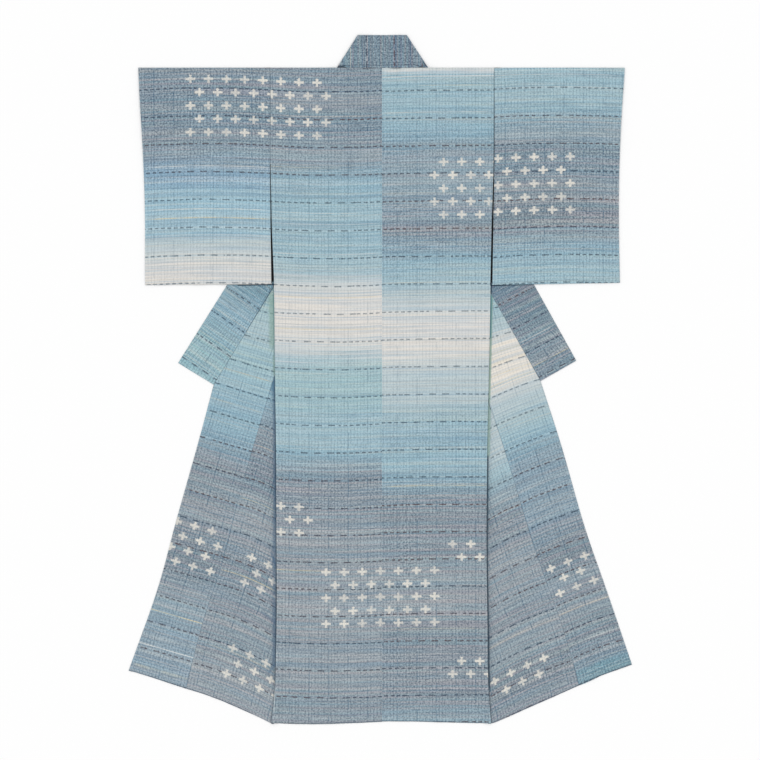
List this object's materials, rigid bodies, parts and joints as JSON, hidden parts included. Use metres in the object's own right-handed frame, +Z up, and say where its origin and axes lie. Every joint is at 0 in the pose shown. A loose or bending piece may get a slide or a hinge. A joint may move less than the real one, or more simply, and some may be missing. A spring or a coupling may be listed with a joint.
{
  "type": "kimono",
  "caption": "Woven kimono laid flat with its back up, sleeves out to the sides and both fronts turned out from under it.",
  "frame": {"origin": "on the floor under the middle of the garment's outline", "axes": "+Y runs up the garment from the hem to the collar, +X to the right as seen from above, +Z up from the floor"},
  "size_m": [1.3078, 1.7895, 0.0051],
  "materials": {
    "body_cloth": "slubby woven silk, soft sheen, shaded across in slate, aqua and cream",
    "overlap_cloth": "slubby woven silk, soft sheen, shaded across in cream, aqua and slate",
    "sleeve_cloth": "slubby woven silk, soft sheen, shaded across in slate, aqua and cream",
    "collar_cloth": "slubby woven silk, soft sheen, shaded across in blue and slate",
    "overcollar_cloth": "slubby woven silk, soft sheen, slate blue"
  },
  "bodies": {
    "root": {"body_left": "body_cloth", "body_right": "body_cloth", "overlap_left": "overlap_cloth", "overlap_right": "overlap_cloth", "collar_left": "collar_cloth", "collar_right": "collar_cloth", "sleeve_left": "sleeve_cloth", "sleeve_right": "sleeve_cloth", "overcollar": "overcollar_cloth"}
  },
  "joints": []
}
